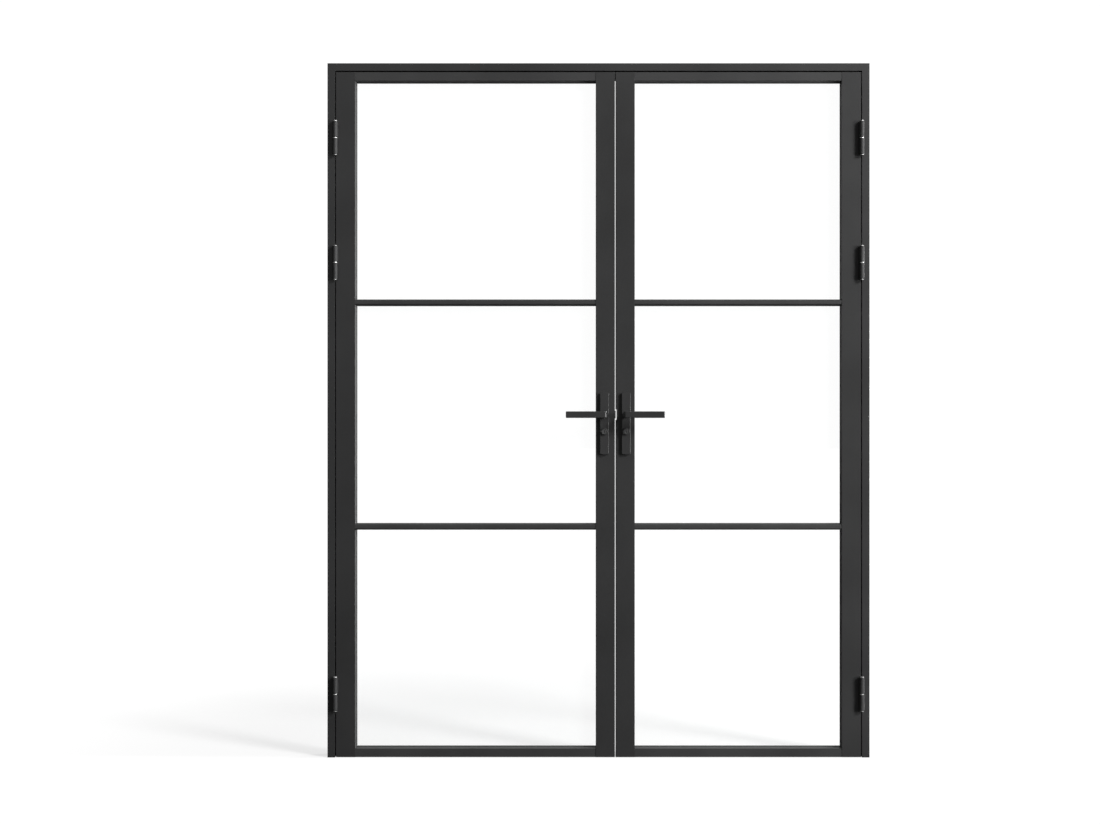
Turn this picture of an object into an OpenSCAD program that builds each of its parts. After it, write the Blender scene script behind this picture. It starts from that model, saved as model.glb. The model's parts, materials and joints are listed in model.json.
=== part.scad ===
// French doors: a pair of glazed steel leaves of unequal width in a slim welded steel frame.
// X runs to the right, Y to the back, Z up. The origin is on the floor line, at the middle of the
// frame's width and at mid thickness of the leaves. The leaves open towards -Y.

/* [Frame] */
// Overall width across the frame
frame_w = 1660; // [1500:10:1900]
// Overall height of the frame
frame_h = 2126; // [2000:10:2400]
// Visible face of each frame member
frame_face = 23; // [18:1:40]
// Depth of the frame from front to back
frame_depth = 70; // [66:1:100]
// Wall of the frame and leaf tubes
tube_wall = 2; // [1.5:0.5:2.5]
// Width of the stop behind the leaf edges
stop_w = 18; // [12:1:22]
// Gap between a leaf's edge and the jamb
side_gap = 3; // [2.5:0.5:4]
// Gap between the leaves and the head
head_gap = 4; // [3:0.5:6]
// Gap between the leaves and the floor
floor_gap = 1; // [1:1:8]

/* [Leaves] */
// Distance of the meeting line from the middle of the frame
meeting_x = 51.2; // [0:0.1:120]
// Gap between the two meeting stiles
meeting_gap = 2.5; // [2.5:0.5:4]
// Depth of a leaf from front to back
leaf_depth = 50; // [46:1:54]
// Visible face of a stile
stile_face = 58.5; // [58:0.5:80]
// Visible face of the top and bottom rails
rail_face = 26; // [25:1:60]
// Visible face of a glazing bar
bar_face = 18; // [16:1:24]
// Bevel on the front edges of a glazing bar
bar_bevel = 4; // [1:0.5:5]
// Set-back of rails and bars behind the stile faces
rail_setback = 1; // [0.5:0.5:2]

/* [Glazing] */
// Thickness of the glass
glass_t = 6; // [4:0.5:7]
// Thickness of the tape on each side of the glass
tape_t = 1.5; // [1:0.5:2]
// Distance of the glazing rebate behind mid thickness of the leaf
rebate_y = 5; // [4:0.5:6]
// Height of the rebate in stiles and rails
rebate_h = 14; // [12:1:16]
// Thickness of the glazing beads
bead_t = 10; // [8:0.5:10]

/* [Hinges] */
// Heights of the hinge centres above the floor
hinge_z = [195.5, 1515, 1896.5];
// Diameter of a hinge barrel
barrel_d = 16; // [14:0.5:16.5]
// Length of a whole hinge
hinge_len = 107; // [80:1:140]
// Diameter of the hinge pin
pin_d = 10; // [8:0.5:10]
// Thickness of the washer between the knuckles
washer_t = 3; // [2:0.5:4]

/* [Handles] */
// Height of the lever axis above the floor
lever_z = 1050; // [950:5:1100]
// Distance of the lever axis from the meeting edge
backset = 32; // [31:0.5:33]
// Length of the lever from its axis to its tip
lever_len = 117; // [90:1:140]
// Height of the lever bar
lever_h = 20; // [16:1:24]
// Distance of the lever bar's front from the leaf
lever_reach = 58; // [48:1:70]
// Width of the backplates
plate_w = 28; // [28:1:32]
// Length of the backplates
plate_h = 190; // [190:1:220]
// Thickness of the backplates
plate_t = 9; // [8:0.5:12]
// Distance between the lever axis and the cylinder axis
lock_centres = 52; // [52:1:56]

/* [Hidden] */
$fn = 64;

// colours
coat = [0.13, 0.13, 0.135];
handle_black = [0.1, 0.1, 0.105];
steel = [0.72, 0.73, 0.74];
dull_steel = [0.5, 0.51, 0.52];
glass_tint = [0.82, 0.88, 0.88, 0.35];
rubber_black = [0.05, 0.05, 0.05];

// planes and heights
front_y = -leaf_depth / 2;
rear_y = leaf_depth / 2;
frame_rear_y = front_y + frame_depth;
rail_y = front_y + rail_setback;
frame_x = frame_w / 2;
jamb_inner_x = frame_x - frame_face;
edge_x = jamb_inner_x - side_gap;
head_z = frame_h - frame_face;
leaf_bottom = floor_gap;
leaf_top = head_z - head_gap;
leaf_h = leaf_top - leaf_bottom;
left_w = edge_x + meeting_x - meeting_gap / 2;
right_w = edge_x - meeting_x - meeting_gap / 2;

// seal and stop behind the leaves
seal_gap = 3;
seal_clear = 0.3;
seal_w = 8;
stop_y = rear_y + seal_gap;
stop_wall = 1.5;

// glazing
sight_bottom = leaf_bottom + rail_face;
sight_top = leaf_top - rail_face;
pane_sight_h = (sight_top - sight_bottom - 2 * bar_face) / 3;
web_w = bar_face / 3;
glass_y = rebate_y + tape_t;
bead_y = glass_y + glass_t + tape_t;
bead_wall = 1.5;
glass_cover = 11;
bar_cover = 4.5;
rebate_edge = stile_face - rebate_h;
end_cap = 3;
vent_r = 4;
vent_y = -4;
bead_joint = 0.1;

// fixings through the jambs into the wall
fixing_r = 4.25;
fixing_z = [150, 750, 1350, 1950];
fixing_y = (front_y + frame_rear_y) / 2;

// hinges
axis_u = -side_gap / 2;
axis_y = front_y - barrel_d / 2 - 0.5;
running = 0.05;
cap_r = 6;
cap_t = 2.5;
knuckle_h = (hinge_len - washer_t) / 2 - cap_t;
washer_clear = 0.05;
washer_r = 6.5;
rim = 1.5;
lug_near = 2;
lug_w = 5;
lug_end = 2;

// handles and locks
axis_z = lever_z;
cylinder_z = lever_z - lock_centres;
plate_drop = 27;
plate_mid_z = lever_z - plate_drop;
plate_bevel = 1.5;
plate_arc_rise = 3;
plate_wall = 3;
boss_r = 12;
screw_boss_r = 6;
neck_r = 8;
lever_t = 12;
lever_round = 2.5;
lever_bend = 8;
spindle_a = 8;
spindle_out = 25;
hub_r = 9;
lock_y = -6;
case_t = 14;
case_wall = 1.2;
case_depth = 47;
case_low = lever_z - 112;
case_high = lever_z + 54;
forend_t = 3;
forend_w = 20;
forend_low = case_low - 18;
forend_high = case_high + 18;
screw_r = 2.5;
screw_head_r = 4.5;
screw_sink = 3;
forend_screw_len = 9;
keep_screw_len = 6;
screw_in = 7;
screw_z = [for (s = [-1, 1]) plate_mid_z + s * (plate_h / 2 - screw_in)];
forend_screw_r = 2;
forend_screw_z = [forend_low + screw_in, forend_high - screw_in];
fit = 0.2;
hole_ease = 0.8;
cylinder_boss = 2.4;
collar_r = 10.5;
collar_out = 6;
collar_bevel = 1;

// lock cylinder
body_r = 8.5;
fin_w = 10;
fin_drop = 24.5;
plug_r = 7;
body_end = rear_y + plate_t - plate_wall - fit;
cylinder_end = rear_y + plate_t + collar_out - 0.3;
cam_t = 9.6;
cam_slot = 10;
cam_r = 14.5;
cam_neck_r = 7;
key_w = 1.6;
key_h = 8;
key_deep = 20;

// bolts
bolt_t = 10;
latch_h = 24;
latch_proud = 3;
latch_body = 14;
latch_tail = 19;
latch_tail_h = 10;
dead_h = 20;
dead_mid_z = lever_z - 91;
dead_len = 29.5;
dead_sunk = 0.5;
keep_groove = 3;
keep_groove_h = 31;
keep_t = 1.5;
keep_plate_t = 2;
keep_low = lever_z - 35;
keep_high = lever_z + 40;
keep_screw_z = [lever_z - 27, lever_z + 33];
dead_keep_h = 42;
rod_r = 4;
rod_in = 12.5;
rod_sunk = 2;
rod_gap = 12;

module place(side) {
    if (side == "left") translate([-edge_x, 0, 0]) children();
    else mirror([1, 0, 0]) translate([-edge_x, 0, 0]) children();
}

function leaf_w(side) = side == "left" ? left_w : right_w;

// extrudes a (Y, Z) outline along X
module along_x(from, to) {
    translate([from, 0, 0]) rotate([90, 0, 90]) linear_extrude(to - from) children();
}

// extrudes an (X, Z) outline along Y
module along_y(from, to) {
    translate([0, to, 0]) rotate([90, 0, 0]) linear_extrude(to - from) children();
}

module rod_y(r, from, to) {
    translate([0, from, 0]) rotate([-90, 0, 0]) cylinder(r = r, h = to - from);
}

module rod_x(r, from, to) {
    translate([from, 0, 0]) rotate([0, 90, 0]) cylinder(r = r, h = to - from);
}

module block(low, high) {
    translate(low) cube(high - low);
}

// ---- frame ----

// half plane outside the mitre of a top corner, on the side of the given sign
module mitre(sign, keep_jamb) {
    far = 2 * frame_face;
    a = [sign * (frame_x + frame_face), frame_h + frame_face];
    b = [sign * (jamb_inner_x - frame_face), head_z - frame_face];
    c = keep_jamb ? [sign * (jamb_inner_x - far), frame_h + far] : [sign * (frame_x + far), head_z - far];
    along_y(front_y - 1, frame_rear_y + 1) polygon([a, b, c]);
}

module jamb(sign) {
    color(coat) difference() {
        translate([sign * (jamb_inner_x + frame_face / 2), (front_y + frame_rear_y) / 2, 0])
            linear_extrude(frame_h) difference() {
                square([frame_face, frame_depth], center = true);
                square([frame_face - 2 * tube_wall, frame_depth - 2 * tube_wall], center = true);
            }
        mitre(sign, true);
        for (z = fixing_z) translate([0, fixing_y, z])
            rod_x(fixing_r, sign > 0 ? jamb_inner_x - 1 : -frame_x - 1,
                sign > 0 ? frame_x + 1 : -jamb_inner_x + 1);
    }
}

module frame_head() {
    color(coat) difference() {
        along_x(-frame_x, frame_x) translate([fixing_y, head_z + frame_face / 2]) difference() {
            square([frame_depth, frame_face], center = true);
            square([frame_depth - 2 * tube_wall, frame_face - 2 * tube_wall], center = true);
        }
        for (sign = [-1, 1]) mitre(sign, false);
        translate([edge_x - right_w + rod_in, lock_y, head_z - 1])
            cylinder(r = rod_r + 1, h = tube_wall + 2);
    }
}

module stop_bar(len) {
    linear_extrude(len) difference() {
        square([stop_w, frame_rear_y - stop_y]);
        translate([stop_wall, stop_wall])
            square([stop_w - 2 * stop_wall, frame_rear_y - stop_y - 2 * stop_wall]);
    }
}

module stop_left() {
    color(coat) translate([-jamb_inner_x, stop_y, 0]) stop_bar(head_z - stop_w);
}

module stop_right() {
    color(coat) translate([jamb_inner_x - stop_w, stop_y, 0]) stop_bar(head_z - stop_w);
}

module stop_head() {
    color(coat) translate([-jamb_inner_x, stop_y, head_z]) rotate([0, 90, 0]) stop_bar(2 * jamb_inner_x);
}

// soft strips on the front of the stops, just clear of the closed leaves
module frame_seals() {
    y0 = rear_y + seal_clear;
    mid = jamb_inner_x - stop_w / 2;
    seal_top = head_z - stop_w / 2 - seal_w / 2;
    color(rubber_black) {
        for (sign = [-1, 1])
            block([sign * mid - seal_w / 2, y0, floor_gap], [sign * mid + seal_w / 2, stop_y, seal_top]);
        block([-mid - seal_w / 2, y0, seal_top], [mid + seal_w / 2, stop_y, seal_top + seal_w]);
    }
}

// ---- hinges: two knuckles on a fixed pin, with a washer between them ----

module at_hinges(side) {
    place(side) for (z = hinge_z) translate([axis_u, axis_y, z]) children();
}

module hinge_lug(toward_leaf, low, high) {
    x0 = toward_leaf ? lug_near : -lug_near - lug_w;
    block([x0, 0, low], [x0 + lug_w, front_y - axis_y, high]);
}

// one knuckle around the pin, chamfered at its outer end, with its lug to the leaf or the jamb
module knuckle(of_leaf, bore_r) {
    z0 = washer_t / 2;
    z1 = z0 + knuckle_h;
    r = barrel_d / 2;
    mirror([0, 0, of_leaf ? 0 : 1]) difference() {
        union() {
            rotate_extrude() polygon([[0, z0], [r, z0], [r, z1 - rim], [r - rim, z1], [0, z1]]);
            hinge_lug(of_leaf, z0 + lug_end, z1 - 2 * lug_end);
        }
        translate([0, 0, z0 - 1]) cylinder(r = bore_r, h = knuckle_h + 2);
    }
}

// lower knuckles, fixed to the jamb, with the pins pressed in
module frame_knuckles(side) {
    color(coat) at_hinges(side) knuckle(false, pin_d / 2);
}

// upper knuckles, turning with the leaf
module leaf_knuckles(side) {
    color(coat) at_hinges(side) knuckle(true, pin_d / 2 + running);
}

// pins with a head below, and the caps screwed on above
module hinge_pins() {
    high = washer_t / 2 + knuckle_h;
    edge = cap_r - rim / 2;
    color(steel) for (side = ["left", "right"]) at_hinges(side) {
        translate([0, 0, -high]) cylinder(r = pin_d / 2, h = 2 * high);
        rotate_extrude() polygon([[0, -high], [cap_r, -high], [cap_r, -high - cap_t + rim / 2],
            [edge, -high - cap_t], [0, -high - cap_t]]);
        translate([0, 0, high + washer_clear]) rotate_extrude() polygon([[0, 0], [cap_r, 0],
            [cap_r, cap_t - washer_clear - rim / 2], [edge, cap_t - washer_clear],
            [0, cap_t - washer_clear]]);
    }
}

module hinge_washers() {
    color(steel) for (side = ["left", "right"]) at_hinges(side)
        translate([0, 0, -washer_t / 2]) difference() {
            cylinder(r = washer_r, h = washer_t - washer_clear);
            translate([0, 0, -1]) cylinder(r = pin_d / 2 + fit, h = washer_t + 2);
        }
}

// ---- leaves, drawn from the hinge edge (x = 0) to the meeting edge (x = leaf width) ----

// tube section with a rebate at its inner rear corner, from outer edge 0 to sight line face
module rebated_tube(face, front, wall = tube_wall) {
    back = rear_y;
    difference() {
        polygon([[0, front], [face, front], [face, rebate_y], [face - rebate_h, rebate_y],
            [face - rebate_h, back], [0, back]]);
        polygon([[wall, front + wall], [face - wall, front + wall], [face - wall, rebate_y - wall],
            [face - rebate_h - wall, rebate_y - wall], [face - rebate_h - wall, back - wall],
            [wall, back - wall]]);
    }
}

// a stile with closed ends, each with a vent hole
module stile() {
    difference() {
        union() {
            translate([0, 0, leaf_bottom]) linear_extrude(leaf_h) rebated_tube(stile_face, front_y);
            for (z = [leaf_bottom, leaf_top - end_cap])
                block([tube_wall / 2, front_y + tube_wall / 2, z],
                    [rebate_edge - tube_wall / 2, rear_y - tube_wall / 2, z + end_cap]);
            for (z = [leaf_bottom, leaf_top - end_cap])
                block([tube_wall / 2, front_y + tube_wall / 2, z],
                    [stile_face - tube_wall / 2, rebate_y - tube_wall / 2, z + end_cap]);
        }
        for (z = [leaf_bottom, leaf_top - end_cap])
            translate([stile_face / 2, vent_y, z - 1]) cylinder(r = vent_r, h = end_cap + 2);
    }
}

module hinge_stile(side) {
    color(coat) place(side) stile();
}

// rails and bars stop against the stiles' sight faces in front and run into the rebate behind
module between_stiles(w) {
    difference() {
        children();
        for (u = [rebate_edge - 1, w - stile_face])
            block([u, front_y - 1, 0], [u + rebate_h + 1, rebate_y, frame_h]);
    }
}

module rail(side, top) {
    w = leaf_w(side);
    color(coat) place(side) between_stiles(w) along_x(rebate_edge, w - rebate_edge)
        translate([0, top ? leaf_top : leaf_bottom]) mirror([0, top ? 1 : 0])
            rotate(90) mirror([0, 1]) rebated_tube(rail_face, rail_y);
}

function bar_mid_z(n) = sight_bottom + n * pane_sight_h + (n - 0.5) * bar_face;

// T shaped bar with a bevelled hollow nose in front and a flat web behind
module bar(side, n) {
    w = leaf_w(side);
    h = bar_face / 2;
    b = bar_bevel;
    t = tube_wall;
    inset = b - t * 0.4;
    nose = [[rail_y, -h + b], [rail_y, h - b], [rail_y + b, h], [rebate_y, h], [rebate_y, web_w / 2],
        [rear_y, web_w / 2], [rear_y, -web_w / 2], [rebate_y, -web_w / 2], [rebate_y, -h],
        [rail_y + b, -h]];
    hollow = [[rail_y + t, -h + t + inset], [rail_y + t, h - t - inset], [rail_y + t + inset, h - t],
        [rebate_y - t, h - t], [rebate_y - t, -h + t], [rail_y + t + inset, -h + t]];
    color(coat) place(side) between_stiles(w) along_x(rebate_edge, w - rebate_edge)
        translate([0, bar_mid_z(n)]) difference() {
            polygon(nose);
            polygon(hollow);
        }
}

// sight opening n, counted from the bottom
function sight_low(n) = sight_bottom + n * (pane_sight_h + bar_face);
function sight_high(n) = sight_low(n) + pane_sight_h;
function cover_low(n) = n == 0 ? glass_cover : bar_cover;
function cover_high(n) = n == 2 ? glass_cover : bar_cover;

// a slab from one side of the rebate to the other, covering opening n
module pane_slab(w, n, y, t) {
    block([stile_face - glass_cover, y, sight_low(n) - cover_low(n)],
        [w - stile_face + glass_cover, y + t, sight_high(n) + cover_high(n)]);
}

module pane(side, n) {
    color(glass_tint) place(side) pane_slab(leaf_w(side), n, glass_y, glass_t);
}

module glazing_tape(side) {
    w = leaf_w(side);
    color(rubber_black) place(side) for (n = [0:2], y = [rebate_y, glass_y + glass_t]) difference() {
        pane_slab(w, n, y, tape_t);
        block([stile_face, y - 1, sight_low(n)], [w - stile_face, y + tape_t + 1, sight_high(n)]);
    }
}

// bead of hollow rectangular section, open at its ends
module bead_x(from, to, z0, z1) {
    difference() {
        block([from, bead_y, z0], [to, bead_y + bead_t, z1]);
        block([from - 1, bead_y + bead_wall, z0 + bead_wall],
            [to + 1, bead_y + bead_t - bead_wall, z1 - bead_wall]);
    }
}

module bead_z(x0, x1, from, to) {
    difference() {
        block([x0, bead_y, from], [x1, bead_y + bead_t, to]);
        block([x0 + bead_wall, bead_y + bead_wall, from - 1],
            [x1 - bead_wall, bead_y + bead_t - bead_wall, to + 1]);
    }
}

module beads(side) {
    w = leaf_w(side);
    bar_rebate = (bar_face - web_w) / 2;
    color(coat) place(side) for (n = [0:2]) {
        low = n == 0 ? rebate_h : bar_rebate;
        high = n == 2 ? rebate_h : bar_rebate;
        bead_x(rebate_edge, w - rebate_edge, sight_low(n) - low, sight_low(n));
        bead_x(rebate_edge, w - rebate_edge, sight_high(n), sight_high(n) + high);
        for (u = [rebate_edge, w - stile_face])
            bead_z(u, u + rebate_h, sight_low(n) + bead_joint, sight_high(n) - bead_joint);
    }
}

// ---- lock side of the leaves ----

// outline of a profile cylinder in the (X, Z) plane, grown by g
module profile_2d(g) {
    translate([0, cylinder_z]) {
        circle(r = body_r + g);
        translate([-fin_w / 2 - g, -fin_drop + fin_w / 2]) square([fin_w + 2 * g, fin_drop - fin_w / 2]);
        translate([0, -fin_drop + fin_w / 2]) circle(r = fin_w / 2 + g);
    }
}

// holes through front and back of a meeting stile for spindle, cylinder and plate screws
module handle_holes(w) {
    translate([w - backset, 0, 0]) {
        translate([0, 0, axis_z]) rod_y(hub_r, front_y - 1, rear_y + 1);
        along_y(front_y - 1, rear_y + 1) profile_2d(hole_ease);
        for (z = screw_z) translate([0, 0, z]) rod_y(screw_r + 0.5, front_y - 1, rear_y + 1);
    }
}

// opening through the edge wall, centred on the lock
module edge_slot(w, width, low, high, deep = tube_wall) {
    block([w - deep - 1, lock_y - width / 2, low], [w + 1, lock_y + width / 2, high]);
}

module left_meeting_stile() {
    w = left_w;
    color(coat) place("left") difference() {
        translate([w, 0, 0]) mirror([1, 0, 0]) stile();
        handle_holes(w);
        edge_slot(w, forend_w, forend_low, forend_high);
    }
}

module right_meeting_stile() {
    w = right_w;
    half = keep_groove_h / 2 + keep_t;
    color(coat) place("right") difference() {
        translate([w, 0, 0]) mirror([1, 0, 0]) stile();
        handle_holes(w);
        block([w - keep_groove - keep_t, front_y - 1, axis_z - half], [w + 1, rear_y + 1, axis_z + half]);
        edge_slot(w, forend_w, keep_low, keep_high);
        edge_slot(w, forend_w, dead_mid_z - dead_keep_h / 2, dead_mid_z + dead_keep_h / 2);
        for (z = [leaf_bottom - 1, leaf_top - end_cap - 1])
            translate([w - rod_in, lock_y, z]) cylinder(r = rod_r + running, h = end_cap + 2);
    }
}

// lock case: a flat box, open towards the meeting edge and closed there by the forend
module case_box(w, front) {
    difference() {
        block([w - case_depth - forend_t, lock_y - case_t / 2, case_low],
            [w - front, lock_y + case_t / 2, case_high]);
        block([w - case_depth - forend_t + case_wall, lock_y - case_t / 2 + case_wall, case_low + case_wall],
            [w - front + 1, lock_y + case_t / 2 - case_wall, case_high - case_wall]);
        translate([w - backset, 0, axis_z]) rod_y(hub_r + running, front_y, rear_y);
        translate([w - backset, 0, 0]) along_y(front_y, rear_y) profile_2d(fit);
    }
}

module left_lock_case() {
    color(dull_steel) place("left") case_box(left_w, forend_t);
}

module right_gear_case() {
    w = right_w;
    color(dull_steel) place("right") difference() {
        case_box(w, keep_groove + keep_t + 0.5);
        translate([w - rod_in, lock_y, case_low - 1]) cylinder(r = rod_r + running, h = case_wall + 2);
        translate([w - rod_in, lock_y, case_high - case_wall - 1])
            cylinder(r = rod_r + running, h = case_wall + 2);
    }
}

module left_forend() {
    w = left_w;
    color(steel) place("left") difference() {
        block([w - forend_t, lock_y - forend_w / 2, forend_low], [w, lock_y + forend_w / 2, forend_high]);
        block([w - forend_t - 1, lock_y - bolt_t / 2 - fit, axis_z - latch_h / 2 - fit],
            [w + 1, lock_y + bolt_t / 2 + fit, axis_z + latch_h / 2 + fit]);
        block([w - forend_t - 1, lock_y - bolt_t / 2 - fit, dead_mid_z - dead_h / 2 - fit],
            [w + 1, lock_y + bolt_t / 2 + fit, dead_mid_z + dead_h / 2 + fit]);
        for (z = forend_screw_z) translate([0, lock_y, z]) rod_x(forend_screw_r, w - forend_t - 1, w + 1);
    }
}

// latch keep: a plate let into the edge, with a shallow channel that runs from front to back
module latch_keep() {
    w = right_w;
    half = keep_groove_h / 2;
    back = w - keep_groove;
    color(steel) place("right") difference() {
        union() {
            block([back - keep_t, front_y, axis_z - half - keep_t], [w, rear_y, axis_z + half + keep_t]);
            block([w - keep_plate_t, lock_y - forend_w / 2, keep_low], [w, lock_y + forend_w / 2, keep_high]);
        }
        block([back, front_y - 1, axis_z - half], [w + 1, rear_y + 1, axis_z + half]);
        for (z = keep_screw_z) translate([0, lock_y, z])
            rod_x(forend_screw_r, w - keep_plate_t - 1, w + 1);
    }
}

module dead_bolt_keep() {
    w = right_w;
    half = dead_keep_h / 2;
    hole = dead_h / 2 + 1;
    color(steel) place("right") difference() {
        block([w - keep_plate_t, lock_y - forend_w / 2, dead_mid_z - half],
            [w, lock_y + forend_w / 2, dead_mid_z + half]);
        edge_slot(w, bolt_t + 1, dead_mid_z - hole, dead_mid_z + hole, keep_plate_t);
        for (z = [-1, 1] * (half - 5)) translate([0, lock_y, dead_mid_z + z])
            rod_x(forend_screw_r, w - keep_plate_t - 1, w + 1);
    }
}

// small screw through the edge of a leaf, its head flush with the edge
module edge_screw(w, z, len) {
    translate([0, lock_y, z]) rod_x(forend_screw_r, w - len, w);
}

// screws that clamp the two backplates together through the stile
module plate_screws(w) {
    back = rear_y + plate_t;
    for (z = screw_z) translate([w - backset, 0, z]) {
        rod_y(screw_r, front_y - plate_t + plate_wall, back - screw_sink);
        translate([0, back - screw_sink, 0]) rotate([-90, 0, 0])
            cylinder(r1 = screw_r, r2 = screw_head_r, h = screw_sink);
    }
}

module left_screws() {
    w = left_w;
    color(dull_steel) place("left") {
        plate_screws(w);
        for (z = forend_screw_z) edge_screw(w, z, forend_screw_len);
    }
}

module right_screws() {
    w = right_w;
    color(dull_steel) place("right") {
        plate_screws(w);
        for (z = keep_screw_z) edge_screw(w, z, keep_screw_len);
        for (z = [-1, 1] * (dead_keep_h / 2 - 5)) edge_screw(w, dead_mid_z + z, keep_screw_len);
    }
}

// front outline of a backplate: straight sides and slightly arched ends
module plate_outline() {
    translate([0, plate_mid_z]) {
        r = (plate_w * plate_w / 4 + plate_arc_rise * plate_arc_rise) / (2 * plate_arc_rise);
        square([plate_w, plate_h - 2 * plate_arc_rise], center = true);
        for (s = [-1, 1]) intersection() {
            translate([0, s * (plate_h / 2 - r)]) circle(r = r, $fn = 180);
            translate([-plate_w / 2, s > 0 ? 0 : -plate_h / 2]) square([plate_w, plate_h / 2]);
        }
    }
}

// raised collar around the round nose of the lock cylinder
module key_collar() {
    straight = collar_out - collar_bevel;
    translate([0, -plate_t, cylinder_z]) rotate([90, 0, 0]) {
        translate([0, 0, -1]) cylinder(r = collar_r, h = straight + 1);
        translate([0, 0, straight])
            cylinder(r1 = collar_r, r2 = collar_r - collar_bevel, h = collar_bevel);
    }
}

// backplate as a shell with bosses, standing on the plane Y = 0 and reaching to -plate_t
module plate_shell() {
    t = plate_t;
    difference() {
        union() {
            intersection() {
                along_y(-t, 0) plate_outline();
                translate([0, 0, plate_mid_z - plate_h / 2 - 1]) linear_extrude(plate_h + 2)
                    polygon([[-plate_w / 2, 0], [-plate_w / 2, -t + plate_bevel],
                        [-plate_w / 2 + plate_bevel, -t], [plate_w / 2 - plate_bevel, -t],
                        [plate_w / 2, -t + plate_bevel], [plate_w / 2, 0]]);
            }
            key_collar();
        }
        difference() {
            block([-plate_w / 2 + plate_wall, -t + plate_wall, plate_mid_z - plate_h / 2 + 2 * plate_wall],
                [plate_w / 2 - plate_wall, 1, plate_mid_z + plate_h / 2 - 2 * plate_wall]);
            translate([0, 0, axis_z]) rod_y(boss_r, -t, 0);
            along_y(-t, 0) profile_2d(cylinder_boss);
            for (z = screw_z) translate([0, 0, z]) rod_y(screw_boss_r, -t, 0);
        }
        translate([0, 0, axis_z]) rod_y(neck_r + running, -t - 1, 1);
        along_y(-t + plate_wall, 1) profile_2d(fit);
        translate([0, 0, cylinder_z]) rod_y(body_r + fit, -t - collar_out - 1, 1);
    }
}

module plate_front(side) {
    color(handle_black) place(side) translate([leaf_w(side) - backset, front_y, 0]) difference() {
        plate_shell();
        for (z = screw_z) translate([0, 0, z]) rod_y(screw_r, -plate_t + plate_wall, 1);
    }
}

module plate_rear(side) {
    color(handle_black) place(side) translate([leaf_w(side) - backset, rear_y, 0])
        mirror([0, 1, 0]) difference() {
            plate_shell();
            for (z = screw_z) translate([0, 0, z]) {
                rod_y(screw_r, -plate_t - 1, 1);
                translate([0, -plate_t, 0]) rotate([-90, 0, 0])
                    cylinder(r1 = screw_head_r, r2 = screw_r, h = screw_sink);
            }
        }
}

// lever handle seen from above: neck out of the plate, rounded corner, bar along the leaf
module lever_outline() {
    far = -lever_reach;
    near = far + lever_t;
    difference() {
        translate([-lever_len, far]) square([lever_len + neck_r, lever_t]);
        difference() {
            translate([neck_r - lever_bend, far - 1]) square([lever_bend + 1, lever_bend + 1]);
            translate([neck_r - lever_bend, far + lever_bend]) circle(r = lever_bend);
        }
    }
    translate([-neck_r, near - 1]) square([2 * neck_r, 5]);
}

module rounded_bar_section() {
    r = lever_round;
    for (y = [-lever_reach + r, -1], z = [-lever_h / 2 + r, lever_h / 2 - r])
        translate([y, z]) circle(r = r, $fn = 32);
    translate([-lever_reach + r, -lever_h / 2]) square([lever_reach, lever_h]);
    translate([-lever_reach, -lever_h / 2 + r]) square([lever_reach, lever_h - 2 * r]);
}

// lever with its round neck, standing on the plane Y = 0 and reaching to -lever_reach
module lever() {
    intersection() {
        translate([0, 0, -lever_h / 2]) linear_extrude(lever_h) lever_outline();
        along_x(-lever_len - 1, neck_r + 1) rounded_bar_section();
    }
    rod_y(neck_r, -lever_reach + lever_t / 2, -1);
}

module lever_at(side, rear) {
    translate([leaf_w(side) - backset, rear ? rear_y : front_y, axis_z])
        mirror([0, rear ? 1 : 0, 0]) children();
}

// square socket for the spindle, in the end of a lever's neck
module spindle_socket() {
    block([-spindle_a / 2, -spindle_out - 1, -spindle_a / 2], [spindle_a / 2, 1, spindle_a / 2]);
}

module lever_front(side) {
    color(handle_black) place(side) lever_at(side, false) difference() {
        lever();
        spindle_socket();
    }
}

module lever_rear(side) {
    color(handle_black) place(side) lever_at(side, true) difference() {
        lever();
        spindle_socket();
    }
}

// square spindle with the round hub that turns in the lock case
module spindle(side) {
    half = case_t / 2;
    color(steel) place(side) translate([leaf_w(side) - backset, 0, axis_z]) {
        block([-spindle_a / 2, front_y - spindle_out, -spindle_a / 2],
            [spindle_a / 2, rear_y + spindle_out, spindle_a / 2]);
        rod_y(hub_r, lock_y - half, lock_y + half);
    }
}

// profile cylinder with round noses and a gap in its middle for the cam
module lock_cylinder(side) {
    color(steel) place(side) translate([leaf_w(side) - backset, 0, 0]) difference() {
        union() {
            along_y(-body_end, body_end) profile_2d(0);
            translate([0, 0, cylinder_z]) rod_y(body_r, -cylinder_end, cylinder_end);
        }
        translate([0, 0, cylinder_z]) rod_y(plug_r + running, -cylinder_end - 1, cylinder_end + 1);
        translate([0, 0, cylinder_z]) rod_y(cam_r + 0.5, lock_y - cam_slot / 2, lock_y + cam_slot / 2);
    }
}

// the turning plug with its cam and a keyway at each end
module plug(side) {
    end = cylinder_end - 0.5;
    color(dull_steel) place(side) translate([leaf_w(side) - backset, 0, cylinder_z]) difference() {
        union() {
            rod_y(plug_r, -end, end);
            difference() {
                rod_y(cam_r, lock_y - cam_t / 2, lock_y + cam_t / 2);
                translate([0, 0, cam_neck_r / 2]) block([-cam_r - 1, lock_y - cam_t, 0],
                    [cam_r + 1, lock_y + cam_t, cam_r + 1]);
                for (s = [-1, 1]) translate([s * (cam_neck_r + cam_r + 1 - 2), lock_y, -cam_r / 2])
                    cube([2 * (cam_r - 1), 2 * cam_t, 3 * cam_r], center = true);
            }
            rod_y(cam_neck_r, lock_y - cam_t / 2, lock_y + cam_t / 2);
        }
        for (s = [-1, 1]) translate([0, s * end, 0])
            cube([key_w, 2 * key_deep, key_h], center = true);
    }
}

// ---- bolts ----

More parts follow.
